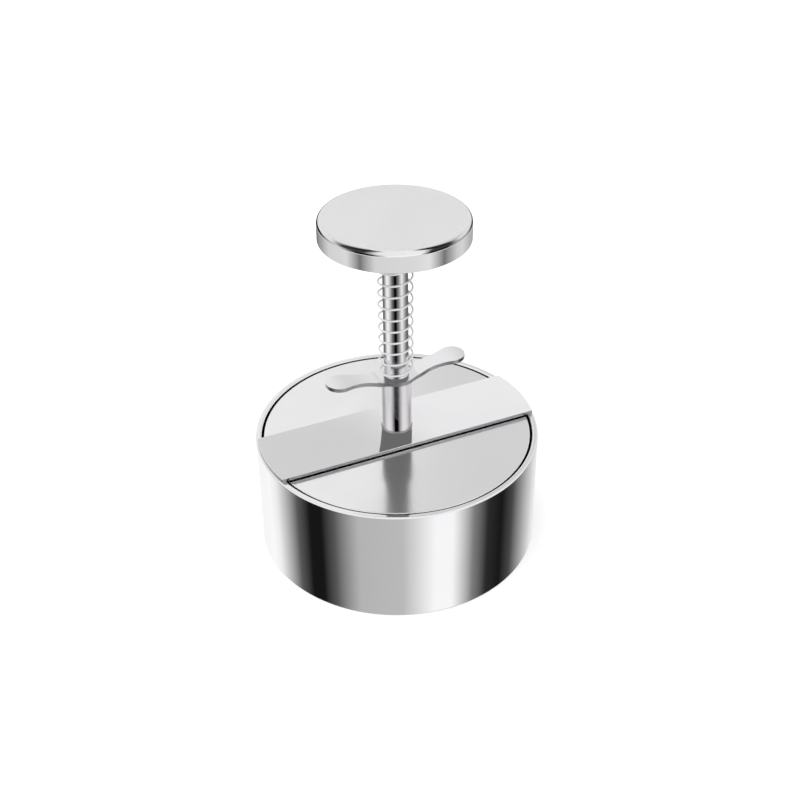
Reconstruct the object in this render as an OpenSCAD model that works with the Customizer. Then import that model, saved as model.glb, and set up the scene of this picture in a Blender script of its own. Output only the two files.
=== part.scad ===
// Spring-return plunger press for shaping meat patties.
// Sizes are in millimetres. Z = 0 is the table, +Z is up the push rod, and the bridge bar runs along X.

/* [Mould ring] */
// Outside diameter of the ring
ring_d = 110; // [90:1:140]
// Height of the ring
ring_h = 47.5; // [36:0.5:60]
// Thickness of the ring's wall
ring_wall = 2.3; // [1.8:0.1:4]
// Rounding of the two edges of the upper rim
rim_round = 0.7; // [0.3:0.05:0.85]
// Rounding of the two edges at the foot
foot_round = 0.35; // [0.1:0.05:0.7]

/* [Bridge bar] */
// Width of the flat bar that crosses the rim
bridge_w = 28.3; // [22:0.1:40]
// Thickness of the bar
bridge_t = 1.5; // [1:0.1:3]
// How far the bar's ends stay inside the ring's outer wall
bridge_inset = 0.6; // [0:0.1:1]

/* [Guide sleeve] */
// Length of the sleeve from the bridge bar to the finger plate
sleeve_h = 22.5; // [15:0.5:35]
// Wall of the sleeve round the rod
sleeve_wall = 1; // [0.6:0.02:1.6]
// How far the bead at the sleeve's foot stands out
foot_bead = 0.35; // [0.3:0.05:1]
// How far the sleeve's lower end is flared out, at 45 degrees, inside the bar
flare_reach = 0.8; // [0.4:0.1:1]

/* [Finger plate] */
// Span of the plate from tip to tip
finger_span = 56.8; // [50:0.2:70]
// Diameter of the round lobe at each end
finger_lobe_d = 10.4; // [9:0.1:14]
// Width of the narrowest part of each arm
finger_waist_w = 7.2; // [5:0.1:8.5]
// Thickness of the sheet
finger_t = 1.5; // [1:0.1:2.5]
// How far the arms sweep up from the hub to the tips
finger_rise = 2.6; // [1:0.1:4]
// Radius of the bend where an arm leaves the hub
finger_knee_r = 6; // [6:0.5:16]
// Margin of the hub outside the spring
hub_margin = 0.65; // [0.3:0.05:2]

/* [Push rod] */
// Diameter of the rod
rod_d = 9.4; // [8:0.1:12]
// Diameter of the stub that the knob's nut holds
stub_d = 6; // [4:0.5:7]
// Bevel of the stub's end
stub_bevel = 0.5; // [0.2:0.1:1]

/* [Return spring] */
// Length left for the spring between finger plate and knob
spring_space = 57.2; // [50:0.2:70]
// Diameter of the wire
wire_d = 0.8; // [0.6:0.05:1.2]
// Turns from end to end
spring_turns = 12.25; // [10:0.25:14]
// Turns at each end over which the pitch eases to level
spring_ease = 0.5; // [0.25:0.05:1]
// Angle at which the lower end of the wire lies
spring_start = 5; // [0:5:355]

/* [Press plate] */
// Thickness of the plate
plate_t = 2.5; // [2.5:0.1:4]
// Rounding of the plate's two edges
plate_round = 0.4; // [0.1:0.05:0.8]

/* [Plate screw] */
// Diameter of the screw that holds the plate
screw_d = 5; // [4:0.5:6]
// Diameter of the countersunk head
screw_head_d = 9.2; // [8.5:0.1:10]
// Length of the screw inside the rod
screw_grip = 11; // [8:0.5:16]
// Width across the flats of the hexagon socket
socket_w = 3; // [2:0.5:3.5]
// Depth of the hexagon socket
socket_depth = 1.8; // [1:0.1:2.5]

/* [Knob] */
// Outside diameter of the knob's lower band
knob_d = 55; // [44:0.5:66]
// Height of the lower band, up to the seam
knob_band_h = 6.2; // [5:0.1:10]
// Height of the crown above the seam
knob_crown_h = 2.1; // [2.1:0.05:4]
// Rounding of the crown's upper edge
crown_round = 2; // [0.8:0.05:2]
// Sheet thickness of both shells
knob_sheet = 1; // [0.6:0.1:1.2]
// Step by which the crown stands inside the band
seam_step = 0.1; // [0.05:0.05:0.4]
// Depth of the crown's skirt inside the band
skirt_depth = 3; // [1:0.1:3.5]
// Rounding of the band's lower edge
band_round = 0.35; // [0.2:0.05:1]
// Width across the flats of the nut inside the knob
nut_w = 10; // [10:0.5:16]

/* [Clearances] */
// Radial running clearance of the rod in the sleeve
slide_gap = 0.08; // [0.02:0.01:0.1]
// Radial gap between press plate and ring wall
plate_gap = 0.8; // [0.4:0.1:2]
// Gap between the bridge bar and the press plate at rest
stop_gap = 0.5; // [0.1:0.05:0.8]
// Radial gap between the rod and the inside of the spring
spring_gap = 1.25; // [0.6:0.05:2]
// Gap between each end of the spring and its seat
seat_gap = 0.1; // [0.05:0.05:0.3]
// Radial clearance of parts that are screwed or pushed together
fit_gap = 0.05; // [0.03:0.01:0.15]
// Free height above the nut inside the knob
nut_headroom = 1; // [0.5:0.1:1.5]
// Free depth beyond the screw's end inside the rod
tap_runout = 2; // [1:0.5:4]

/* [Hidden] */
$fn = 96;
steel = "silver";
pale_steel = "gainsboro";
dark_steel = "dimgray";

// How far a cut runs beyond the faces that it opens
past = 1;
// Degrees in a turn, and steps in the drawn outlines
full_turn = 360;
lobe_steps = 32;
waist_steps = 14;
hub_steps = 12;
arm_fn = 360;

// Heights of the seats, from the table up
bridge_z = ring_h;
sleeve_z = bridge_z + bridge_t;
finger_z = sleeve_z + sleeve_h;
spring_z = finger_z + finger_t;
knob_z = spring_z + spring_space;
seam_z = knob_z + knob_band_h;
plate_top_z = bridge_z - stop_gap;
plate_z = plate_top_z - plate_t;
knob_floor_z = knob_z + knob_sheet;
nut_h = knob_band_h + knob_crown_h - 2 * knob_sheet - nut_headroom;

// Radii that follow from the pieces inside each other
ring_r = ring_d / 2;
bore_r = ring_r - ring_wall;
plate_r = bore_r - plate_gap;
rod_r = rod_d / 2;
slide_r = rod_r + slide_gap;
sleeve_r = slide_r + sleeve_wall;
wire_r = wire_d / 2;
coil_r = rod_r + spring_gap + wire_r;
hub_r = coil_r + wire_r + hub_margin;
knob_r = knob_d / 2;
crown_r = knob_r - seam_step;
stub_hole_r = stub_d / 2 + fit_gap;

// What a rounding takes off a corner, drawn from the rounding's centre
module corner_cut(round) {
    difference() {
        square(round + past);
        circle(round);
    }
}

// A slab seen in section, from the axis out to r, with its outer edges rounded
module rounded_slab(r, h, round_low, round_high) {
    difference() {
        square([r, h]);
        if (round_high > 0)
            translate([r - round_high, h - round_high]) corner_cut(round_high);
        if (round_low > 0)
            translate([r - round_low, round_low]) mirror([0, 1]) corner_cut(round_low);
    }
}

module mould_ring() {
    wall_mid = ring_wall / 2;
    color(steel)
        rotate_extrude()
            translate([bore_r + wall_mid, 0]) {
                rounded_slab(wall_mid, ring_h, foot_round, rim_round);
                mirror([1, 0]) rounded_slab(wall_mid, ring_h, foot_round, rim_round);
            }
}

module bridge_bar() {
    end_r = ring_r - bridge_inset;
    hole_r = sleeve_r + fit_gap;
    color(pale_steel)
        translate([0, 0, bridge_z])
            difference() {
                intersection() {
                    cylinder(r = end_r, h = bridge_t);
                    translate([-end_r, -bridge_w / 2, 0]) cube([2 * end_r, bridge_w, bridge_t]);
                }
                translate([0, 0, -past]) cylinder(r = hole_r, h = bridge_t + 2 * past);
                translate([0, 0, -past])
                    cylinder(r1 = hole_r + flare_reach + past, r2 = hole_r, h = flare_reach + past);
            }
}

// The sleeve passes through the bar: a bead above it and a flare let into its underside clamp it there.
module guide_sleeve() {
    color(steel)
        difference() {
            union() {
                translate([0, 0, bridge_z]) cylinder(r = sleeve_r, h = finger_z - bridge_z);
                translate([0, 0, bridge_z])
                    cylinder(r1 = sleeve_r + flare_reach, r2 = sleeve_r, h = flare_reach);
                translate([0, 0, sleeve_z])
                    cylinder(r1 = sleeve_r + foot_bead, r2 = sleeve_r, h = foot_bead);
            }
            translate([0, 0, bridge_z - past])
                cylinder(r = slide_r, h = finger_z - bridge_z + 2 * past);
        }
}

// Finger plate: a hub disc and two lobes, blended by arcs that touch both and leave the waist's width
lobe_r = finger_lobe_d / 2;
lobe_x = finger_span / 2 - lobe_r;
waist_half = finger_waist_w / 2;

// The arc's radius solves sqrt(hub_k + hub_m * r) + sqrt(lobe_k + lobe_m * r) = lobe_x.
hub_k = pow(hub_r, 2) - pow(waist_half, 2);
hub_m = 2 * (hub_r - waist_half);
lobe_k = pow(lobe_r, 2) - pow(waist_half, 2);
lobe_m = 2 * (lobe_r - waist_half);
reach = pow(lobe_x, 2) + hub_k - lobe_k;
quad_a = pow(hub_m - lobe_m, 2);
quad_b = 2 * (hub_m - lobe_m) * reach - 4 * pow(lobe_x, 2) * hub_m;
quad_c = pow(reach, 2) - 4 * pow(lobe_x, 2) * hub_k;
waist_r = 2 * quad_c / (sqrt(pow(quad_b, 2) - 4 * quad_a * quad_c) - quad_b);
waist_x = sqrt(hub_k + hub_m * waist_r);
waist_y = waist_half + waist_r;

// Each arm bends up at the knee and levels off at the tip.
arm_run = finger_span / 2 - hub_r;
arm_angle = 2 * atan(finger_rise / arm_run);
arm_r = arm_run / sin(arm_angle) - finger_knee_r;
knee_centre = [hub_r, finger_t + finger_knee_r];
arm_centre = [finger_span / 2, finger_t + finger_rise - arm_r];

// Points along an arc, up to but without its end
function arc(centre, r, from, to, steps) =
    [for (i = [0 : steps - 1])
        let (a = from + (to - from) * i / steps)
        centre + r * [cos(a), sin(a)]];

// Half the outline, anticlockwise: a lobe, the arc to the hub, the hub's edge and the next arc
hub_a = atan2(waist_y, waist_x);
lobe_a = atan2(waist_y, waist_x - lobe_x);
half_outline = concat(
    arc([lobe_x, 0], lobe_r, -lobe_a, lobe_a, lobe_steps),
    arc([waist_x, waist_y], waist_r, 180 + lobe_a, 180 + hub_a, waist_steps),
    arc([0, 0], hub_r, hub_a, 180 - hub_a, hub_steps),
    arc([-waist_x, waist_y], waist_r, -hub_a, -lobe_a, waist_steps));

module finger_outline() {
    polygon(concat(half_outline, -half_outline));
}

// All that lies below one face of the sheet: lift is that face's height above the hub's lower face
module under_sheet(lift) {
    translate(arm_centre) circle(arm_r - finger_t + lift, $fn = arm_fn);
    difference() {
        polygon([knee_centre, arm_centre, [-past, arm_centre[1]], [-past, knee_centre[1]]]);
        translate(knee_centre) circle(finger_knee_r + finger_t - lift);
        translate([-2 * past, lift]) square([hub_r + 2 * past, knee_centre[1]]);
    }
}

module finger_side_view() {
    for (side = [0, 1])
        mirror([side, 0])
            intersection() {
                translate([-past, 0]) square([finger_span / 2 + past, finger_t + finger_rise]);
                difference() {
                    under_sheet(finger_t);
                    under_sheet(0);
                }
            }
}

module finger_plate() {
    stack_h = finger_t + finger_rise;
    color(pale_steel)
        translate([0, 0, finger_z])
            difference() {
                intersection() {
                    translate([0, 0, -past])
                        linear_extrude(height = stack_h + 2 * past) finger_outline();
                    translate([0, hub_r + past, 0]) rotate([90, 0, 0])
                        linear_extrude(height = 2 * (hub_r + past)) finger_side_view();
                }
                translate([0, 0, -past]) cylinder(r = slide_r, h = finger_t + 2 * past);
            }
}

// Return spring: one open-ended helix, level at both ends where it bears on its seats
ring_steps = 8;
wire_sides = 6;
coil_h = spring_space - wire_d - 2 * seat_gap;
pitch = coil_h / (spring_turns - spring_ease);
coil_steps = round(spring_turns * ring_steps);

// Height of the wire's centre after a number of turns
function eased_rise(turn) = pitch * pow(turn, 2) / (2 * spring_ease);
function coil_rise(turn) =
    turn < spring_ease ? eased_rise(turn)
    : turn > spring_turns - spring_ease ? coil_h - eased_rise(spring_turns - turn)
    : pitch * (turn - spring_ease / 2);
function coil_point(turn) =
    let (a = spring_start + full_turn * turn)
    [coil_r * cos(a), coil_r * sin(a), spring_z + seat_gap + wire_r + coil_rise(turn)];
function level_tangent(turn) =
    let (a = spring_start + full_turn * turn)
    [-sin(a), cos(a), 0];
// A ring of points round the wire, upright and facing along the coil
function wire_ring(centre, turn) =
    let (a = spring_start + full_turn * turn, out = [cos(a), sin(a), 0])
    [for (k = [0 : wire_sides - 1])
        let (b = full_turn * k / wire_sides)
        centre + wire_r * (cos(b) * out + sin(b) * [0, 0, 1])];

coil_turns = [for (i = [0 : coil_steps]) spring_turns * i / coil_steps];
coil_centres = [for (t = coil_turns) coil_point(t)];
wire_centres = concat([coil_centres[0] - wire_d * level_tangent(0)], coil_centres,
    [coil_centres[coil_steps] + wire_d * level_tangent(spring_turns)]);
wire_turns = concat([0], coil_turns, [spring_turns]);
wire_rings = len(wire_centres);

// The least gap between the wire and the next turn of itself
spring_self_gap = min([for (i = [0 : coil_steps], j = [i + ring_steps / 2 : coil_steps])
    norm(coil_centres[i] - coil_centres[j])]) - wire_d;
echo(spring_self_gap = spring_self_gap);

module return_spring() {
    points = [for (i = [0 : wire_rings - 1]) each wire_ring(wire_centres[i], wire_turns[i])];
    last = (wire_rings - 1) * wire_sides;
    sides = [for (i = [0 : wire_rings - 2], k = [0 : wire_sides - 1])
        let (a = i * wire_sides + k, b = i * wire_sides + (k + 1) % wire_sides)
        each [[a, b, a + wire_sides], [b, b + wire_sides, a + wire_sides]]];
    caps = [for (k = [1 : wire_sides - 2])
        each [[0, k + 1, k], [last, last + k, last + k + 1]]];
    color(dark_steel) polyhedron(points = points, faces = concat(sides, caps), convexity = 10);
}

// The rod stands on the press plate, and its shoulder carries the knob.
module push_rod() {
    tap_h = screw_grip + tap_runout;
    stub_h = knob_sheet + nut_h;
    color(steel)
        difference() {
            union() {
                translate([0, 0, plate_top_z]) cylinder(r = rod_r, h = knob_z - plate_top_z);
                translate([0, 0, knob_z]) cylinder(d = stub_d, h = stub_h - stub_bevel);
                translate([0, 0, knob_z + stub_h - stub_bevel])
                    cylinder(r1 = stub_d / 2, r2 = stub_d / 2 - stub_bevel, h = stub_bevel);
            }
            translate([0, 0, plate_top_z - past]) cylinder(r = screw_d / 2 + fit_gap, h = tap_h + past);
        }
}

module press_plate() {
    head_gap_r = screw_head_d / 2 + fit_gap;
    hole_r = screw_d / 2 + fit_gap;
    color(pale_steel)
        translate([0, 0, plate_z])
            difference() {
                rotate_extrude() rounded_slab(plate_r, plate_t, plate_round, plate_round);
                translate([0, 0, -past]) cylinder(r = hole_r, h = plate_t + 2 * past);
                cylinder(r1 = head_gap_r, r2 = hole_r, h = head_gap_r - hole_r);
                translate([0, 0, -past]) cylinder(r = head_gap_r, h = past);
            }
}

// The head lies flush in the plate's countersink, with its socket facing down.
module plate_screw() {
    head_h = (screw_head_d - screw_d) / 2;
    color(dark_steel)
        translate([0, 0, plate_z])
            difference() {
                union() {
                    cylinder(d1 = screw_head_d, d2 = screw_d, h = head_h);
                    cylinder(d = screw_d, h = plate_t + screw_grip);
                }
                translate([0, 0, -past])
                    cylinder(d = socket_w / cos(30), h = socket_depth + past, $fn = 6);
            }
}

module knob_base() {
    color(steel)
        translate([0, 0, knob_z])
            difference() {
                rotate_extrude() rounded_slab(knob_r, knob_band_h, band_round, 0);
                translate([0, 0, knob_sheet]) cylinder(r = knob_r - knob_sheet, h = knob_band_h);
                translate([0, 0, -past]) cylinder(r = stub_hole_r, h = knob_sheet + 2 * past);
            }
}

// The crown rests on the band's edge, and its skirt centres it inside the band.
module knob_cap() {
    skirt_r = knob_r - knob_sheet - fit_gap;
    color(pale_steel)
        translate([0, 0, seam_z])
            difference() {
                union() {
                    rotate_extrude() rounded_slab(crown_r, knob_crown_h, 0, crown_round);
                    translate([0, 0, -skirt_depth]) cylinder(r = skirt_r, h = skirt_depth + knob_sheet / 2);
                }
                translate([0, 0, -skirt_depth - past])
                    cylinder(r = skirt_r - knob_sheet, h = skirt_depth + past + knob_crown_h - knob_sheet);
            }
}

module knob_nut() {
    color(dark_steel)
        translate([0, 0, knob_floor_z])
            difference() {
                cylinder(d = nut_w / cos(30), h = nut_h, $fn = 6);
                translate([0, 0, -past]) cylinder(r = stub_hole_r, h = nut_h + 2 * past);
            }
}

mould_ring();
bridge_bar();
guide_sleeve();
finger_plate();
return_spring();
push_rod();
press_plate();
plate_screw();
knob_base();
knob_cap();
knob_nut();
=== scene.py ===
# %% [markdown]
# A burger press in polished stainless steel, dressed for its portrait.
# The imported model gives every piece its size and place. This lesson replaces the plain solids by
# finely rounded ones, because mirror-polished steel shows every facet and every hard edge.

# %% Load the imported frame
import math
import bmesh
import bpy
from mathutils import Matrix, Vector


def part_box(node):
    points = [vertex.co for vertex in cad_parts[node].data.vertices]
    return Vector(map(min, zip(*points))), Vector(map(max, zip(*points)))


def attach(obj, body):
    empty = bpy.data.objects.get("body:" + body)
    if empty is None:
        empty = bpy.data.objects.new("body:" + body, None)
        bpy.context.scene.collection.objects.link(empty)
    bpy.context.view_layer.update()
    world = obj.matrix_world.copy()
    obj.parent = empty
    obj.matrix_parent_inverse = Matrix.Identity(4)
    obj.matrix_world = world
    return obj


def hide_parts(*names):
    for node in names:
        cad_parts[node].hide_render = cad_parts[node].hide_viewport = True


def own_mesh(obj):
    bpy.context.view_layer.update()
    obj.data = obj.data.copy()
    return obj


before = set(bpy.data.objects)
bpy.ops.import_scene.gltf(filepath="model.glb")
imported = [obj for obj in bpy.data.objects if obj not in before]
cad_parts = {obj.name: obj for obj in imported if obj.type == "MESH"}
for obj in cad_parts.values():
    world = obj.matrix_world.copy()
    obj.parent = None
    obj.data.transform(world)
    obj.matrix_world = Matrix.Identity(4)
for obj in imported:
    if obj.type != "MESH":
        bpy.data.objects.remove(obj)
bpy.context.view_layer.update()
MM = 0.001
print("nodes:", sorted(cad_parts))

# %% [markdown]
# The camera comes first, so that every later choice can be judged through it.
# Its place, lens and tilt were solved from the rim's and the knob's ellipses in the photograph.
# A camera could also be aimed with a Track To constraint, but a roll of half a degree
# is easier to write as three turns: heading about the upright, pitch, and roll about the lens.

# %% Camera
camera_place = Vector((-153.97, -346.80, 320.93)) * MM
camera_heading = math.radians(24.14)
camera_pitch = math.radians(34.47)
camera_roll = math.radians(-0.54)
camera_lens = 53.76

bpy.ops.object.camera_add()
camera = bpy.context.object
turns = Matrix.Rotation(-camera_heading, 4, "Z") @ Matrix.Rotation(math.pi / 2 - camera_pitch, 4, "X")
camera.matrix_world = Matrix.Translation(camera_place) @ turns @ Matrix.Rotation(camera_roll, 4, "Z")
camera.data.lens = camera_lens
camera.data.sensor_width = 36
camera.data.clip_start = 0.01
bpy.context.scene.camera = camera
print("camera", [round(c, 3) for c in camera.location])

# %% [markdown]
# Most pieces of the press are turned or drawn round one axis, so one helper makes them all.
# A single vertex is extruded from corner to corner of the piece's section, the corners are
# bevelled, and the section is spun round the Z axis. A cylinder with loop cuts would also do,
# but a section reads like a workshop drawing and keeps the roundings exact.

# %% Helper: pick vertices in edit mode by their place
def pick(piece, chosen):
    mesh = bmesh.from_edit_mesh(piece.data)
    for vertex in mesh.verts:
        vertex.select = chosen(vertex.co)
    mesh.select_flush_mode()
    bmesh.update_edit_mesh(piece.data)


# %% Helper: start a new piece from a primitive, with nothing else selected
def begin(name, primitive, **sizes):
    bpy.ops.object.select_all(action="DESELECT")
    primitive(**sizes)
    piece = bpy.context.object
    piece.name = name
    piece.data.name = name
    return piece


# %% Helper: smooth faces whose normals follow the large faces, as polishing leaves them
def polish(piece, smooth_angle=32):
    bpy.ops.object.shade_smooth_by_angle(angle=math.radians(smooth_angle))
    even = piece.modifiers.new("even_normals", "WEIGHTED_NORMAL")
    even.keep_sharp = True
    bpy.ops.object.modifier_apply(modifier=even.name)


# %% Helper: a turned piece
same_place = 0.5e-6
round_segments = 8
small_steps = 192
disc_steps = 256
large_steps = 320


def turned(name, corners, steps=small_steps):
    """Spins a section round Z. Each corner is (radius, height, rounding) in millimetres."""
    points = [Vector((radius, 0, height)) * MM for radius, height, rounding in corners]
    piece = begin(name, bpy.ops.mesh.primitive_plane_add, size=MM)
    bpy.ops.object.mode_set(mode="EDIT")
    bpy.ops.mesh.merge(type="CENTER")
    bpy.ops.transform.translate(value=points[0])
    for here, there in zip(points, points[1:]):
        bpy.ops.mesh.extrude_vertices_move(TRANSFORM_OT_translate={"value": there - here})
    bpy.ops.mesh.select_all(action="SELECT")
    bpy.ops.mesh.edge_face_add()
    for point, (radius, height, rounding) in zip(points, corners):
        if rounding:
            pick(piece, lambda co: (co - point).length < same_place)
            bpy.ops.mesh.bevel(offset=rounding * MM, segments=round_segments, affect="VERTICES")
    bpy.ops.mesh.select_all(action="SELECT")
    bpy.ops.mesh.delete(type="ONLY_FACE")
    bpy.ops.mesh.select_all(action="SELECT")
    bpy.ops.mesh.spin(steps=steps, angle=math.tau, center=(0, 0, 0), axis=(0, 0, 1))
    bpy.ops.mesh.select_all(action="SELECT")
    bpy.ops.mesh.remove_doubles(threshold=same_place)
    bpy.ops.mesh.delete_loose(use_faces=False)
    bpy.ops.mesh.select_all(action="SELECT")
    bpy.ops.mesh.normals_make_consistent(inside=False)
    bpy.ops.object.mode_set(mode="OBJECT")
    polish(piece)
    print(name, len(piece.data.polygons), "faces")
    return piece


# %% Heights and radii read from the frame, in millimetres
def node_box(node):
    low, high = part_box(node)
    return low / MM, high / MM


ring_high = node_box("mould_ring")[1]
bar_low, bar_high = node_box("bridge_bar")
sleeve_high = node_box("guide_sleeve")[1]
wing_low, wing_high = node_box("finger_plate")
rod_low, rod_high = node_box("push_rod")
disc_low, disc_high = node_box("press_plate")
base_low, base_high = node_box("knob_base")
cap_low, cap_high = node_box("knob_cap")
spring_low, spring_high = node_box("return_spring")
print("ring", ring_high.x, "knob", base_high.x, "height", cap_high.z)

# %% [markdown]
# The mould ring is a length of thick tube, turned and polished inside and out.
# Its rim is rounded, so that it is kind to the hand, and its foot only has its edge broken.

# %% Mould ring
ring_r = ring_high.x
ring_wall = 2.3
bore_r = ring_r - ring_wall
rim_round = 0.7
foot_round = 0.35
polished_ring = turned("polished_ring", [
    (bore_r, 0, foot_round), (ring_r, 0, foot_round),
    (ring_r, ring_high.z, rim_round), (bore_r, ring_high.z, rim_round)], steps=large_steps)

# %% [markdown]
# The press plate is a flat disc with a countersunk hole for its screw. Its edges are rounded a little,
# so that a bright line runs round it where it meets the dark gap to the ring.

# %% Press plate
disc_r = disc_high.x
disc_round = 0.4
screw_hole_r = 2.55
screw_head_r = 4.65
press_disc = turned("press_disc", [
    (screw_hole_r, disc_high.z, 0), (disc_r, disc_high.z, disc_round),
    (disc_r, disc_low.z, disc_round), (screw_head_r, disc_low.z, 0),
    (screw_hole_r, disc_low.z + screw_head_r - screw_hole_r, 0)], steps=disc_steps)

# %% [markdown]
# The push rod is ground bar. A shoulder at its upper end carries the knob, and a tapped hole
# in its lower end takes the plate's screw.

# %% Push rod
rod_r = rod_high.x
shoulder_z = base_low.z
stub_r = 3.0
stub_bevel = 0.5
tap_depth = 13.0
rod_edge = 0.3
ground_rod = turned("ground_rod", [
    (0, rod_low.z + tap_depth, 0), (screw_hole_r, rod_low.z + tap_depth, 0),
    (screw_hole_r, rod_low.z, 0), (rod_r, rod_low.z, rod_edge),
    (rod_r, shoulder_z, 0), (stub_r, shoulder_z, 0),
    (stub_r, rod_high.z - stub_bevel, 0), (stub_r - stub_bevel, rod_high.z, 0), (0, rod_high.z, 0)])

# %% [markdown]
# The guide sleeve is a short tube. It passes through the bar, is flared into a countersink on the bar's
# underside, and has a small round bead above it, so it can move neither up nor down.

# %% Guide sleeve
sleeve_r = 5.78
slide_r = 4.78
bead = 0.35
bead_round = 0.25
flare = sleeve_high.x - sleeve_r
sleeve_tube = turned("sleeve_tube", [
    (slide_r, bar_low.z, 0), (sleeve_r + flare, bar_low.z, 0), (sleeve_r, bar_low.z + flare, 0),
    (sleeve_r, bar_high.z, 0), (sleeve_r + bead, bar_high.z, 0),
    (sleeve_r + bead, bar_high.z + bead, bead_round), (sleeve_r, bar_high.z + bead, 0),
    (sleeve_r, wing_low.z, 0), (slide_r, wing_low.z, 0)])

# %% [markdown]
# The palm knob is two drawn shells: a shallow cup below, and a lid whose crown is rounded for the palm.
# The lid's skirt slips inside the cup. Both edges at the seam are broken a little,
# which leaves the fine line that shows round the knob.

# %% Knob shells
knob_r = base_high.x
sheet = 1.0
band_round = 0.35
seam_round = 0.14
stub_hole_r = 3.05
cup_inner_r = knob_r - sheet
knob_cup = turned("knob_cup", [
    (stub_hole_r, base_low.z, 0), (knob_r, base_low.z, band_round),
    (knob_r, base_high.z, seam_round), (cup_inner_r, base_high.z, 0),
    (cup_inner_r, base_low.z + sheet, 0), (stub_hole_r, base_low.z + sheet, 0)], steps=large_steps)

crown_r = cap_high.x
crown_round = 2.0
skirt_play = 0.05
skirt_r = cup_inner_r - skirt_play
knob_lid = turned("knob_lid", [
    (0, cap_high.z, 0), (crown_r, cap_high.z, crown_round), (crown_r, base_high.z, seam_round),
    (skirt_r, base_high.z, 0), (skirt_r, cap_low.z, 0), (skirt_r - sheet, cap_low.z, 0),
    (skirt_r - sheet, cap_high.z - sheet, 0), (0, cap_high.z - sheet, 0)], steps=large_steps)

# %% [markdown]
# The bridge bar is a strip of sheet. It starts as a round slab as wide as the ring, so its ends
# follow the rim. Two cuts with Bisect leave the strip, a drilled hole takes the sleeve, a countersink
# takes the sleeve's flare, and a small bevel breaks the edges, which then catch a thin line of light.

# %% Bridge bar
bar_edge = 0.22
hole_play = 0.05
slab_sides = 360
hole_sides = 96
bar_hole_r = sleeve_r + hole_play
bar_middle = (bar_low.z + bar_high.z) / 2 * MM
bar_thickness = (bar_high.z - bar_low.z) * MM
bar_drill_length = 4 * bar_thickness
satin_bar = begin("satin_bar", bpy.ops.mesh.primitive_cylinder_add, vertices=slab_sides,
                  radius=bar_high.x * MM, depth=bar_thickness, location=(0, 0, bar_middle))
bpy.ops.object.transform_apply()
bpy.ops.object.mode_set(mode="EDIT")
for side in (bar_low.y, bar_high.y):
    bpy.ops.mesh.select_all(action="SELECT")
    bpy.ops.mesh.bisect(plane_co=(0, side * MM, 0), plane_no=(0, side, 0), use_fill=True, clear_outer=True)
bpy.ops.object.mode_set(mode="OBJECT")
drill = begin("drill", bpy.ops.mesh.primitive_cylinder_add, vertices=hole_sides, radius=bar_hole_r * MM,
              depth=bar_drill_length, location=(0, 0, bar_middle))
countersink = begin("countersink", bpy.ops.mesh.primitive_cone_add, vertices=hole_sides,
                    depth=2 * flare * MM, radius1=(bar_hole_r + 2 * flare) * MM,
                    radius2=bar_hole_r * MM, location=(0, 0, bar_low.z * MM))

# %% Cut the bar's hole and break its edges
edge_segments = 3
sharp_angle = math.radians(50)


def cut_and_break_edges(piece, tools, edge):
    """Cuts the tools out of the piece, then breaks its sharp edges."""
    bpy.ops.object.select_all(action="DESELECT")
    piece.select_set(True)
    bpy.context.view_layer.objects.active = piece
    for tool in tools:
        hole = piece.modifiers.new("hole", "BOOLEAN")
        hole.object = tool
        bpy.ops.object.modifier_apply(modifier=hole.name)
        bpy.data.objects.remove(tool)
    broken = piece.modifiers.new("broken_edge", "BEVEL")
    broken.width = edge * MM
    broken.segments = edge_segments
    broken.angle_limit = sharp_angle
    bpy.ops.object.modifier_apply(modifier=broken.name)
    polish(piece)
    print(piece.name, len(piece.data.polygons), "faces")


cut_and_break_edges(satin_bar, [drill, countersink], bar_edge)

# %% [markdown]
# The finger plate is cut from sheet: a hub and two round lobes, joined by hollow curves,
# with its arms swept up a little at their tips. One half is grown from the hub outwards: the edge
# across the hub is extruded step by step, and each new edge is scaled to the outline's width and lifted.
# A mirror makes the other half, Solidify gives the sheet its thickness, and the edges are broken.

# %% Finger plate: outline and sweep
sheet_wing = 1.5
wing_half = wing_high.x
lobe_r = 5.2
hub_r = wing_high.y
waist_half = 3.6
knee_r = 6.0
wing_rise = wing_high.z - wing_low.z - sheet_wing
lobe_x = wing_half - lobe_r


def waist_gap(radius):
    """How far hub and lobe stand apart beyond what an arc of this radius can join."""
    reach = waist_half + radius
    return (math.sqrt((hub_r + radius) ** 2 - reach ** 2)
            + math.sqrt((lobe_r + radius) ** 2 - reach ** 2) - lobe_x)


low_r, high_r = 1.0, 200.0
halvings = 60
for halving in range(halvings):
    waist_r = (low_r + high_r) / 2
    if waist_gap(waist_r) > 0:
        high_r = waist_r
    else:
        low_r = waist_r
waist_y = waist_half + waist_r
waist_x = math.sqrt((hub_r + waist_r) ** 2 - waist_y ** 2)
hub_end = hub_r * waist_x / (hub_r + waist_r)
lobe_start = lobe_x - lobe_r * (lobe_x - waist_x) / (lobe_r + waist_r)

arm_run = wing_half - hub_r
arm_angle = 2 * math.atan(wing_rise / arm_run)
arm_r = arm_run / math.sin(arm_angle) - knee_r
knee_end = hub_r + knee_r * math.sin(arm_angle)
print("waist arc", round(waist_r, 2), "arm arc", round(arm_r, 2))


def half_width(x):
    if x < hub_end:
        return math.sqrt(hub_r ** 2 - x ** 2)
    if x < lobe_start:
        return waist_y - math.sqrt(waist_r ** 2 - (x - waist_x) ** 2)
    return math.sqrt(max(lobe_r ** 2 - (x - lobe_x) ** 2, 0))


def lift(x):
    if x < hub_r:
        return 0
    if x < knee_end:
        return knee_r - math.sqrt(knee_r ** 2 - (x - hub_r) ** 2)
    return wing_rise - arm_r + math.sqrt(arm_r ** 2 - (wing_half - x) ** 2)


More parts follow.
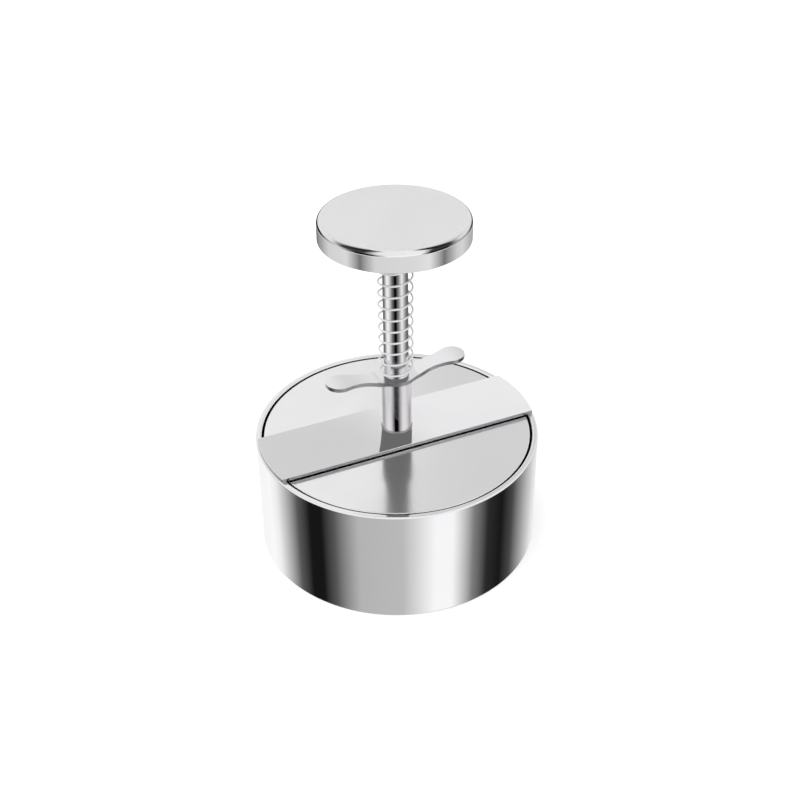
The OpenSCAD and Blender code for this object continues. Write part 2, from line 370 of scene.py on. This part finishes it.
# %% Finger plate: grow one half and mirror it
hub_steps = 10
waist_steps = 28
lobe_steps = 24
cross_cuts = 11
tip_width = 0.02
stations = [hub_end * i / hub_steps for i in range(hub_steps + 1)]
stations += [hub_end + (lobe_start - hub_end) * i / waist_steps for i in range(1, waist_steps)]
lobe_from = math.acos((lobe_x - lobe_start) / lobe_r)
lobe_turn = math.pi - lobe_from
stations += [lobe_x - lobe_r * math.cos(lobe_from + lobe_turn * i / lobe_steps)
             for i in range(lobe_steps + 1)]

finger_wings = begin("finger_wings", bpy.ops.mesh.primitive_plane_add, size=2 * hub_r * MM)
bpy.ops.object.mode_set(mode="EDIT")
pick(finger_wings, lambda co: co.x > 0)
bpy.ops.mesh.delete(type="VERT")
bpy.ops.mesh.select_all(action="SELECT")
bpy.ops.transform.translate(value=(hub_r * MM, 0, wing_low.z * MM + sheet_wing * MM))
bpy.ops.mesh.subdivide(number_cuts=cross_cuts)
for here, there in zip(stations, stations[1:]):
    bpy.ops.mesh.extrude_edges_move(
        TRANSFORM_OT_translate={"value": Vector((there - here, 0, lift(there) - lift(here))) * MM})
    narrowing = max(half_width(there), tip_width) / max(half_width(here), tip_width)
    bpy.ops.transform.resize(value=(1, narrowing, 1))
bpy.ops.object.mode_set(mode="OBJECT")
twin = finger_wings.modifiers.new("twin", "MIRROR")
twin.merge_threshold = same_place
bpy.ops.object.modifier_apply(modifier=twin.name)

# %% Finger plate: thickness, hole and edges
bpy.ops.object.mode_set(mode="EDIT")
bpy.ops.mesh.select_all(action="SELECT")
bpy.ops.mesh.normals_make_consistent(inside=False)
bpy.ops.object.mode_set(mode="OBJECT")
up = sum(face.normal.z * face.area for face in finger_wings.data.polygons)
sheet_metal = finger_wings.modifiers.new("sheet_metal", "SOLIDIFY")
sheet_metal.thickness = sheet_wing * MM
sheet_metal.offset = -1 if up > 0 else 1
bpy.ops.object.modifier_apply(modifier=sheet_metal.name)

wing_edge = 0.25
wing_drill_length = 6 * sheet_wing * MM
drill = begin("drill", bpy.ops.mesh.primitive_cylinder_add, vertices=hole_sides, radius=slide_r * MM,
              depth=wing_drill_length, location=(0, 0, wing_low.z * MM))
cut_and_break_edges(finger_wings, [drill], wing_edge)

# %% [markdown]
# The return spring is one length of drawn wire. A curve follows its helix, and the pitch eases to level
# over the last half turn at each end, where the wire bears on its seats. The curve's own round bevel
# is the wire, and it is then made a mesh.

# %% Return spring
wire_r = 0.4
coil_r = 6.35
coil_turns = 12.25
ease_turns = 0.5
start_angle = math.radians(5)
steps_per_turn = 40
wire_resolution = 4
wire_smooth = math.radians(50)
coil_foot = spring_low.z + wire_r
coil_height = spring_high.z - spring_low.z - 2 * wire_r
coil_pitch = coil_height / (coil_turns - ease_turns)


def coil_rise(turn):
    if turn < ease_turns:
        return coil_pitch * turn ** 2 / (2 * ease_turns)
    if turn > coil_turns - ease_turns:
        return coil_height - coil_pitch * (coil_turns - turn) ** 2 / (2 * ease_turns)
    return coil_pitch * (turn - ease_turns / 2)


wire_path = bpy.data.curves.new("coil_spring", "CURVE")
wire_path.dimensions = "3D"
wire_path.bevel_depth = wire_r * MM
wire_path.bevel_resolution = wire_resolution
wire_path.use_fill_caps = True
line = wire_path.splines.new("POLY")
point_count = round(coil_turns * steps_per_turn) + 1
line.points.add(point_count - 1)
for i, point in enumerate(line.points):
    turn = coil_turns * i / (point_count - 1)
    angle = start_angle + math.tau * turn
    place = Vector((coil_r * math.cos(angle), coil_r * math.sin(angle), coil_foot + coil_rise(turn))) * MM
    point.co = (*place, 1)
bpy.ops.object.select_all(action="DESELECT")
coil_spring = bpy.data.objects.new("coil_spring", wire_path)
bpy.context.scene.collection.objects.link(coil_spring)
coil_spring.select_set(True)
bpy.context.view_layer.objects.active = coil_spring
bpy.ops.object.convert(target="MESH")
bpy.ops.object.shade_smooth_by_angle(angle=wire_smooth)
print("spring", len(coil_spring.data.polygons), "faces")

# %% [markdown]
# Steel that was polished or ground keeps very fine traces of the wheel, and handling leaves a faint haze.
# Both change only the roughness and the surface's tilt by a little, never the colour much.
# They are built once as node groups, and each finish places them with its own scale and direction.

# %% Helper: a node group with named sockets
def new_group(name, inputs, outputs):
    group = bpy.data.node_groups.new(name, "ShaderNodeTree")
    for socket, kind in inputs:
        group.interface.new_socket(socket, in_out="INPUT", socket_type=kind)
    for socket, kind in outputs:
        group.interface.new_socket(socket, in_out="OUTPUT", socket_type=kind)
    return group, group.nodes.new("NodeGroupInput"), group.nodes.new("NodeGroupOutput")


def add_node(tree, kind, links, **settings):
    """Adds a node, sets its properties and joins or sets its inputs, in order or by name."""
    made = tree.nodes.new(kind)
    for setting, value in settings.items():
        setattr(made, setting, value)
    for socket, source in links.items():
        if isinstance(source, bpy.types.NodeSocket):
            tree.links.new(source, made.inputs[socket])
        else:
            made.inputs[socket].default_value = source
    return made


VECTOR, FLOAT = "NodeSocketVector", "NodeSocketFloat"

# %% Grain group: fine lines along the direction in which the steel was worked
grain_group, grain_in, grain_out = new_group(
    "worked_grain", [("Place", VECTOR), ("Stretch", VECTOR)], [("Lines", FLOAT)])
stretched = add_node(grain_group, "ShaderNodeVectorMath",
                     {0: grain_in.outputs["Place"], 1: grain_in.outputs["Stretch"]}, operation="MULTIPLY")
fine = add_node(grain_group, "ShaderNodeTexNoise",
                {"Vector": stretched.outputs[0], "Scale": 1.0, "Detail": 4.0, "Roughness": 0.65})
grain_group.links.new(fine.outputs["Fac"], grain_out.inputs["Lines"])

# %% Turned grain group: the same lines, in rings round the Z axis
rings_group, rings_in, rings_out = new_group(
    "turned_grain", [("Place", VECTOR), ("Rings", FLOAT)], [("Lines", FLOAT)])
level = add_node(rings_group, "ShaderNodeVectorMath",
                 {0: rings_in.outputs["Place"], 1: (1, 1, 0)}, operation="MULTIPLY")
radius = add_node(rings_group, "ShaderNodeVectorMath", {0: level.outputs[0]}, operation="LENGTH")
along = add_node(rings_group, "ShaderNodeMath",
                 {0: radius.outputs["Value"], 1: rings_in.outputs["Rings"]}, operation="MULTIPLY")
ringed = add_node(rings_group, "ShaderNodeTexNoise",
                  {"W": along.outputs[0], "Scale": 1.0, "Detail": 3.0, "Roughness": 0.6},
                  noise_dimensions="1D")
rings_group.links.new(ringed.outputs["Fac"], rings_out.inputs["Lines"])

# %% Haze group: soft patches that a cloth and fingers leave on polished steel
haze_group, haze_in, haze_out = new_group(
    "handling_haze", [("Place", VECTOR), ("Patch", FLOAT)], [("Haze", FLOAT)])
patches = add_node(haze_group, "ShaderNodeTexNoise",
                   {"Vector": haze_in.outputs["Place"], "Scale": haze_in.outputs["Patch"], "Detail": 3.0,
                    "Distortion": 0.6})
soft = add_node(haze_group, "ShaderNodeMapRange",
                {"Value": patches.outputs["Fac"], "From Min": 0.35, "From Max": 0.7})
haze_group.links.new(soft.outputs["Result"], haze_out.inputs["Haze"])

# %% Sag group: a strip that is welded at both ends dips a little between them
sag_group, sag_in, sag_out = new_group(
    "welded_sag", [("Place", VECTOR), ("Bend", FLOAT)], [("Height", FLOAT)])
run = add_node(sag_group, "ShaderNodeSeparateXYZ", {"Vector": sag_in.outputs["Place"]})
squared = add_node(sag_group, "ShaderNodeMath",
                   {0: run.outputs["X"], 1: run.outputs["X"]}, operation="MULTIPLY")
dip = add_node(sag_group, "ShaderNodeMath",
               {0: squared.outputs[0], 1: sag_in.outputs["Bend"]}, operation="MULTIPLY")
sag_group.links.new(dip.outputs[0], sag_out.inputs["Height"])
print("groups:", [group.name for group in bpy.data.node_groups])


# %% Helper: one steel finish
haze_patch = 28.0
line_wear = 0.3


def steel(name, tones, roughness, lines, line_depth, metal=1.0, bend=0.0):
    """A metal with fine lines. Tone and roughness are pairs: clean, and where the haze is full."""
    clean_tone, hazed_tone = tones
    clean_roughness, hazed_roughness = roughness
    finish = bpy.data.materials.new(name)
    finish.use_nodes = True
    tree = finish.node_tree
    tree.nodes.clear()
    place = tree.nodes.new("ShaderNodeTexCoord").outputs["Object"]
    group, group_inputs = lines
    grain = add_node(tree, "ShaderNodeGroup", {}, node_tree=group)
    tree.links.new(place, grain.inputs["Place"])
    for socket, value in group_inputs.items():
        grain.inputs[socket].default_value = value
    haze = add_node(tree, "ShaderNodeGroup", {}, node_tree=haze_group)
    tree.links.new(place, haze.inputs["Place"])
    haze.inputs["Patch"].default_value = haze_patch
    colour = add_node(tree, "ShaderNodeMix", {"Factor": haze.outputs["Haze"]}, data_type="RGBA")
    colour.inputs["A"].default_value = (*clean_tone, 1)
    colour.inputs["B"].default_value = (*hazed_tone, 1)
    rough = add_node(tree, "ShaderNodeMapRange",
                     {"Value": haze.outputs["Haze"], "To Min": clean_roughness, "To Max": hazed_roughness})
    worn = add_node(tree, "ShaderNodeMath",
                    {0: grain.outputs["Lines"], 1: line_wear * clean_roughness, 2: rough.outputs["Result"]},
                    operation="MULTIPLY_ADD")
    bump = add_node(tree, "ShaderNodeBump",
                    {"Height": grain.outputs["Lines"], "Strength": 1.0, "Distance": line_depth})
    if bend:
        sag = add_node(tree, "ShaderNodeGroup", {}, node_tree=sag_group)
        tree.links.new(place, sag.inputs["Place"])
        sag.inputs["Bend"].default_value = bend
        dished = add_node(tree, "ShaderNodeBump",
                          {"Height": sag.outputs["Height"], "Strength": 1.0, "Distance": 1.0})
        tree.links.new(dished.outputs["Normal"], bump.inputs["Normal"])
    shader = add_node(tree, "ShaderNodeBsdfPrincipled",
                      {"Base Color": colour.outputs["Result"], "Roughness": worn.outputs[0],
                       "Normal": bump.outputs["Normal"], "Metallic": metal})
    output = tree.nodes.new("ShaderNodeOutputMaterial")
    tree.links.new(shader.outputs["BSDF"], output.inputs["Surface"])
    return finish


# %% Steel finishes
bright_tones = (0.80, 0.79, 0.80), (0.77, 0.76, 0.775)
matt_tones = (0.65, 0.64, 0.65), (0.63, 0.62, 0.63)
# Sheared edges are rougher, as cut steel is; their darker tone is painted shade for the dark reflections
# along the edges.
sheared_shaded_tones = (0.38, 0.38, 0.385), (0.34, 0.34, 0.345)
wire_tones = (0.86, 0.86, 0.87), (0.80, 0.80, 0.81)
plain_tones = (0.62, 0.62, 0.63), (0.56, 0.56, 0.57)
ring_lines = (rings_group, {"Rings": 9000.0})
hoop_lines = (grain_group, {"Stretch": (60.0, 60.0, 6000.0)})
bar_lines = (grain_group, {"Stretch": (60.0, 6000.0, 60.0)})
wire_lines = (grain_group, {"Stretch": (300.0, 300.0, 3000.0)})

mirror_steel = steel("mirror_steel", bright_tones, roughness=(0.04, 0.07), lines=hoop_lines,
                     line_depth=1e-8)
lapped_steel = steel("lapped_steel", bright_tones, roughness=(0.12, 0.16), lines=ring_lines,
                     line_depth=4e-9)
crown_steel = steel("crown_steel", bright_tones, roughness=(0.05, 0.08), lines=ring_lines, line_depth=4e-9)
matted_steel = steel("matted_steel", matt_tones, roughness=(0.40, 0.45), lines=ring_lines, line_depth=4e-9,
                     metal=0.4)
sheet_steel = steel("sheet_steel", bright_tones, roughness=(0.14, 0.19), lines=bar_lines, line_depth=4e-9)
bar_steel = steel("bar_steel", bright_tones, roughness=(0.045, 0.07), lines=bar_lines, line_depth=4e-9,
                  bend=2.2)
sheared_shaded_steel = steel("sheared_shaded_steel", sheared_shaded_tones, roughness=(0.22, 0.30), lines=hoop_lines,
                      line_depth=2e-8)
wire_steel = steel("wire_steel", wire_tones, roughness=(0.28, 0.36), lines=wire_lines, line_depth=2e-8,
                   metal=0.6)
plain_steel = steel("plain_steel", plain_tones, roughness=(0.28, 0.38), lines=hoop_lines, line_depth=1e-7)
print("finishes:", [material.name for material in bpy.data.materials])

# %% [markdown]
# Each new piece rides on the body of the solid that it stands for and takes its place in the picture.
# The bar and the finger plate are cut from sheet with a press tool, which leaves their edges duller than
# their polished faces, so the upright faces get a finish of their own. Its darker tone is painted shade,
# which stands in for the dark reflections along the edges.
# The knob's top is matted for the palm, and its rounded edge is bright.
# The screw and the nut are hidden or seldom seen, and their solids are true already, so they only
# get a finish.

# %% Dress the pieces
dressing = [
    (polished_ring, "frame", "mould_ring", "mirror_steel", mirror_steel),
    (satin_bar, "frame", "bridge_bar", "satin_steel", bar_steel),
    (sleeve_tube, "frame", "guide_sleeve", "mirror_steel", mirror_steel),
    (finger_wings, "frame", "finger_plate", "satin_steel", sheet_steel),
    (coil_spring, "spring", "return_spring", "spring_wire", wire_steel),
    (ground_rod, "plunger", "push_rod", "mirror_steel", mirror_steel),
    (press_disc, "plunger", "press_plate", "satin_steel", lapped_steel),
    (knob_cup, "plunger", "knob_base", "mirror_steel", mirror_steel),
    (knob_lid, "plunger", "knob_cap", "satin_steel", crown_steel),
]
for piece, body, node, slot, finish in dressing:
    piece.data.materials.clear()
    piece.data.materials.append(finish)
    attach(piece, body)
    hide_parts(node)


# %% Helper: a second finish for some faces, chosen by how far their normals point up
def second_finish(piece, finish, chosen):
    piece.data.materials.append(finish)
    for face in piece.data.polygons:
        if chosen(face.normal.z):
            face.material_index = 1
    print(piece.name, finish.name, sum(face.material_index for face in piece.data.polygons), "faces")


# %% Dress the knob's matted top, and the sheared edges of bar and finger plate
level_from = 0.995
upright_to = 0.3
second_finish(knob_lid, matted_steel, lambda upward: upward > level_from)
# The upright faces take the sheared finish, whose darker tone is painted shade.
for piece in (satin_bar, finger_wings):
    second_finish(piece, sheared_shaded_steel, lambda upward: abs(upward) < upright_to)

# %% Dress the hidden fasteners
fasteners = [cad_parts[node] for node in ("plate_screw", "knob_nut")]
for solid in fasteners:
    solid.data.materials.clear()
    solid.data.materials.append(plain_steel)
print("fasteners:", [solid.name for solid in fasteners])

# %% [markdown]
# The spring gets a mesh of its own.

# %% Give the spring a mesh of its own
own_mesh(coil_spring)

# %% [markdown]
# Polished steel has no look of its own: it shows what stands round it. A studio sets white cards and black
# flags round such a piece, so that each wall gets crisp dark and light bands. Here far screens do that.
# Ring, flats, rod, sleeve, knob band and crown would each be lit with cards of their own, so each has
# a screen, and light linking keeps it from the other pieces. Only mirror rays see the screens.
# Camera and floor see plain white.
# The cards are listed by their bearing from the camera, in degrees, to the left below zero.

# %% Bearing group: turns a direction into its bearing, as a share of the full circle, and its height
bearing_group, bearing_in, bearing_out = new_group(
    "bearing", [("Direction", VECTOR)], [("Share", FLOAT), ("Height", FLOAT)])
bearing_turn = math.pi / 2 + camera_heading
facing = add_node(bearing_group, "ShaderNodeVectorRotate",
                  {"Vector": bearing_in.outputs["Direction"], "Angle": bearing_turn},
                  rotation_type="Z_AXIS")
parts = add_node(bearing_group, "ShaderNodeSeparateXYZ", {"Vector": facing.outputs["Vector"]})
angle = add_node(bearing_group, "ShaderNodeMath",
                 {0: parts.outputs["Y"], 1: parts.outputs["X"]}, operation="ARCTAN2")
share = add_node(bearing_group, "ShaderNodeMapRange",
                 {"Value": angle.outputs[0], "From Min": -math.pi, "From Max": math.pi})
height = add_node(bearing_group, "ShaderNodeMath", {0: parts.outputs["Z"]}, operation="ARCSINE")
bearing_group.links.new(share.outputs["Result"], bearing_out.inputs["Share"])
bearing_group.links.new(height.outputs[0], bearing_out.inputs["Height"])


# %% Helper: a row of cards round the press
def row_of_cards(tree, share, cards):
    """A colour ramp round the horizon. Each stop is (bearing in degrees, light)."""
    ramp = add_node(tree, "ShaderNodeValToRGB", {"Fac": share})
    stops = ramp.color_ramp.elements
    for place, (degrees, light) in enumerate(cards):
        position = degrees / 360 + 0.5
        stop = stops[place] if place < len(stops) else stops.new(position)
        stop.position = position
        stop.color = (light, light, light, 1)
    return ramp.outputs["Color"]


# %% Cards for the ring, the bar and the plates, from the floor up
low_cards = [(-180, 0.9), (-130, 1.15), (-118, 1.05), (-103, 0.55), (-90, 0.12), (-77, 0.01), (-65, 0.01),
             (-53, 0.12), (-32, 0.58), (4, 0.62), (31, 1.17), (46, 1.17), (65, 0.26), (79, 0.03),
             (95, 0.01), (109, 0.08), (134, 0.6), (150, 0.85), (180, 0.9)]
eye_cards = [(-180, 0.95), (-60, 1.1), (66, 1.1), (180, 0.95)]
back_left = [(-180, 0.92), (-178, 1.04), (-165, 1.04), (-150, 0.95)]
back_right = [(150, 0.95), (165, 0.8), (178, 0.8), (180, 0.92)]
roof_cards = [*back_left, (-60, 1.05), (66, 1.05), *back_right]
# The bar mirrors this row's dark middle on to the sleeve, whose own middle then looks dark.
lamp_cards = [*back_left, (-120, 0.5), (-88, 0.95), (-60, 1.2), (-40, 0.95), (-12, 0.0),
              (12, 0.0), (40, 0.95), (60, 1.2), (88, 0.95), (120, 0.5), *back_right]

# %% Cards for rod, sleeve and knob
rod_cards = [(-150, 0.2), (-120, 0.2), (-82, 1.1), (-65, 1.0), (-30, 0.2), (-7, 0.0), (5, 0.0), (30, 0.3),
             (58, 1.05), (89, 0.5), (110, 0.2), (150, 0.15)]
sleeve_cards = [(-150, 0.2), (-120, 0.35), (-88, 0.9), (-65, 1.2), (-49, 1.1), (-21, 0.4), (-7, 0.0),
                (7, 0.0), (21, 0.4), (49, 1.1), (65, 1.2), (88, 0.9), (120, 0.35), (150, 0.2)]
band_cards = [(-180, 0.3), (-163, 0.15), (-148, 0.35), (-135, 0.45), (-112, 0.8), (-75, 0.88),
              (-52, 0.22), (-29, 0.82), (29, 0.88), (52, 0.95), (77, 0.22), (104, 0.75), (117, 0.82),
              (142, 0.55), (180, 0.3)]
dim_cards = [(-180, 0.22), (180, 0.22)]

# %% Cards for the knob's crown, from the floor up
crown_cards = [(-180, 0.9), (-172, 0.01), (-130, 0.01), (-110, 0.5), (-88, 0.8), (-56, 0.01),
               (-32, 0.01), (-10, 1.15), (36, 1.15), (49, 0.01), (79, 0.02), (100, 0.5), (121, 0.5),
               (143, 0.04), (163, 0.04), (176, 0.84)]
crown_eye_cards = [(-180, 0.95), (-100, 0.95), (-80, 0.06), (-44, 0.06), (-24, 1.0), (40, 1.05),
                   (52, 0.05), (86, 0.05), (106, 0.9), (180, 0.95)]
crown_roof_cards = [(-180, 0.95), (-112, 0.9), (-98, 0.5), (-82, 0.03), (-44, 0.03), (-26, 1.0),
                    (46, 1.1), (60, 0.02), (92, 0.02), (108, 0.7), (150, 0.95), (180, 0.95)]

# %% The world: white, but dark for mirror rays, which see the screens instead
world = bpy.data.worlds.new("studio")
bpy.context.scene.world = world
world.use_nodes = True
sky = world.node_tree
sky.nodes.clear()
white_light = add_node(sky, "ShaderNodeBackground", {"Color": (1, 1, 1, 1), "Strength": 1.0})
no_light = add_node(sky, "ShaderNodeBackground", {"Color": (0, 0, 0, 1), "Strength": 0.0})
ray = sky.nodes.new("ShaderNodeLightPath")
seen = add_node(sky, "ShaderNodeMixShader",
                {0: ray.outputs["Is Glossy Ray"], 1: white_light.outputs[0], 2: no_light.outputs[0]})
add_node(sky, "ShaderNodeOutputWorld", {"Surface": seen.outputs[0]})


# %% Helper: change from one row of cards to the next
def above(tree, height, lower, upper, start, full):
    """The lower row up to the first height, in degrees, and the upper row from the second on."""
    share = add_node(tree, "ShaderNodeMapRange",
                     {"Value": height, "From Min": math.radians(start), "From Max": math.radians(full)},
                     interpolation_type="SMOOTHSTEP")
    joined = add_node(tree, "ShaderNodeMix", {"Factor": share.outputs["Result"]}, data_type="RGBA")
    tree.links.new(lower, joined.inputs["A"])
    tree.links.new(upper, joined.inputs["B"])
    return joined.outputs["Result"]


# %% Helper: something that only mirror rays see
def for_mirrors_only(card):
    card.visible_camera = card.visible_diffuse = card.visible_shadow = card.visible_transmission = False


# %% Helper: a far screen that lights only its own pieces
screen_segments = 64
screen_rings = 32


def far_screen(name, radius, seen_by, ground_cards, rows):
    """A great sphere with rows of cards. Each further row is (cards, where it starts, where it is full)."""
    screen = begin(name, bpy.ops.mesh.primitive_uv_sphere_add, segments=screen_segments,
                   ring_count=screen_rings, radius=radius)
    material = bpy.data.materials.new(name)
    material.use_nodes = True
    material.cycles.emission_sampling = "NONE"
    tree = material.node_tree
    tree.nodes.clear()
    place = tree.nodes.new("ShaderNodeTexCoord").outputs["Object"]
    way = add_node(tree, "ShaderNodeVectorMath", {0: place}, operation="NORMALIZE")
    bearing = add_node(tree, "ShaderNodeGroup", {}, node_tree=bearing_group)
    tree.links.new(way.outputs[0], bearing.inputs["Direction"])
    light = row_of_cards(tree, bearing.outputs["Share"], ground_cards)
    for cards, start, full in rows:
        row = row_of_cards(tree, bearing.outputs["Share"], cards)
        light = above(tree, bearing.outputs["Height"], light, row, start, full)
    glow = add_node(tree, "ShaderNodeEmission", {"Color": light})
    clear = tree.nodes.new("ShaderNodeBsdfTransparent")
    both = add_node(tree, "ShaderNodeAddShader", {0: glow.outputs[0], 1: clear.outputs[0]})
    output = tree.nodes.new("ShaderNodeOutputMaterial")
    tree.links.new(both.outputs[0], output.inputs["Surface"])
    screen.data.materials.append(material)
    for_mirrors_only(screen)
    lit = bpy.data.collections.new(name + "_pieces")
    for piece in seen_by:
        lit.objects.link(piece)
    screen.light_linking.receiver_collection = lit
    print(name, "lights", [piece.name for piece in seen_by])


# %% Heights at which one row of cards starts to change to the next and is full, in degrees
low_to_eye = (-16, -6)
eye_to_roof = (22, 28)
flat_eye_to_roof = (22, 26)
flat_roof_to_lamp = (28, 31)
flat_lamp_to_roof = (43, 48)
upright_low_to_eye = (-4, 4)
crown_low_to_eye = (-4, 2)
crown_eye_to_roof = (23, 26)
crown_to_top = (70, 76)

# %% Screens, each with a radius of its own in metres, so that no two coincide
far_screen("wide_screen", radius=20, seen_by=[polished_ring, finger_wings, coil_spring, *fasteners],
           ground_cards=low_cards, rows=[(eye_cards, *low_to_eye), (roof_cards, *eye_to_roof)])
far_screen("flat_screen", radius=25, seen_by=[satin_bar, press_disc], ground_cards=low_cards,
           rows=[(eye_cards, *low_to_eye), (roof_cards, *flat_eye_to_roof),
                 (lamp_cards, *flat_roof_to_lamp), (roof_cards, *flat_lamp_to_roof)])
far_screen("rod_screen", radius=21, seen_by=[ground_rod], ground_cards=rod_cards,
           rows=[(dim_cards, *upright_low_to_eye)])
far_screen("sleeve_screen", radius=22, seen_by=[sleeve_tube], ground_cards=sleeve_cards,
           rows=[(dim_cards, *upright_low_to_eye)])
far_screen("band_screen", radius=23, seen_by=[knob_cup], ground_cards=band_cards,
           rows=[(eye_cards, *upright_low_to_eye)])
far_screen("crown_screen", radius=24, seen_by=[knob_lid], ground_cards=crown_cards,
           rows=[(crown_eye_cards, *crown_low_to_eye), (crown_roof_cards, *crown_eye_to_roof),
                 (roof_cards, *crown_to_top)])

# %% Keep the spring and the finger plate out of the other pieces' mirrors
for piece in (coil_spring, finger_wings):
    piece.visible_glossy = False


# %% Helper: matt paper
def matt_paper(name, shade):
    paper = bpy.data.materials.new(name)
    paper.use_nodes = True
    shader = paper.node_tree.nodes["Principled BSDF"]
    shader.inputs["Base Color"].default_value = (shade, shade, shade, 1)
    shader.inputs["Roughness"].default_value = 0.9
    shader.inputs["Specular IOR Level"].default_value = 0.0
    return paper


# %% [markdown]
# The floor, further on, is not mirrored. Inside the ring, where little light comes, a dark sheet of painted
# shade stands in for it, for mirror rays alone.

# %% Painted shade: a dark sheet under the ring
sheet_z = 0.2
sheet_sides = 96
painted_shade_tone = 0.18
# This sheet is painted shade: it puts darkness where the ring's inside would only be in shade.
painted_shade_sheet = begin("painted_shade_sheet", bpy.ops.mesh.primitive_circle_add, vertices=sheet_sides,
                   radius=(ring_r - ring_wall / 2) * MM, fill_type="NGON", location=(0, 0, sheet_z * MM))
painted_shade_sheet.data.materials.append(matt_paper("painted_shade_paper", painted_shade_tone))
for_mirrors_only(painted_shade_sheet)

# %% [markdown]
# The floor is a plain white sheet. It takes the press's soft shadow, and mirror rays pass it,
# so that the ring's wall shows the studio's cards down to its foot.

# %% Floor and light
floor_size = 40
white_shade = 0.99
floor = begin("floor", bpy.ops.mesh.primitive_plane_add, size=floor_size)
floor.visible_glossy = False
floor.data.materials.append(matt_paper("white_paper", white_shade))

softbox_place = (-0.3, -0.2, 1.4)
softbox_size = 1.2
softbox_power = 8.0
bpy.ops.object.light_add(type="AREA", location=softbox_place)
softbox = bpy.context.object
softbox.name = "softbox"
softbox.data.size = softbox_size
softbox.data.energy = softbox_power
softbox.visible_glossy = False
softbox.rotation_euler = (-softbox.location).to_track_quat("-Z", "Y").to_euler()
print("floor", floor_size, "m, softbox", softbox_power, "W")

# %% Colour management
bpy.context.scene.view_settings.view_transform = "Standard"
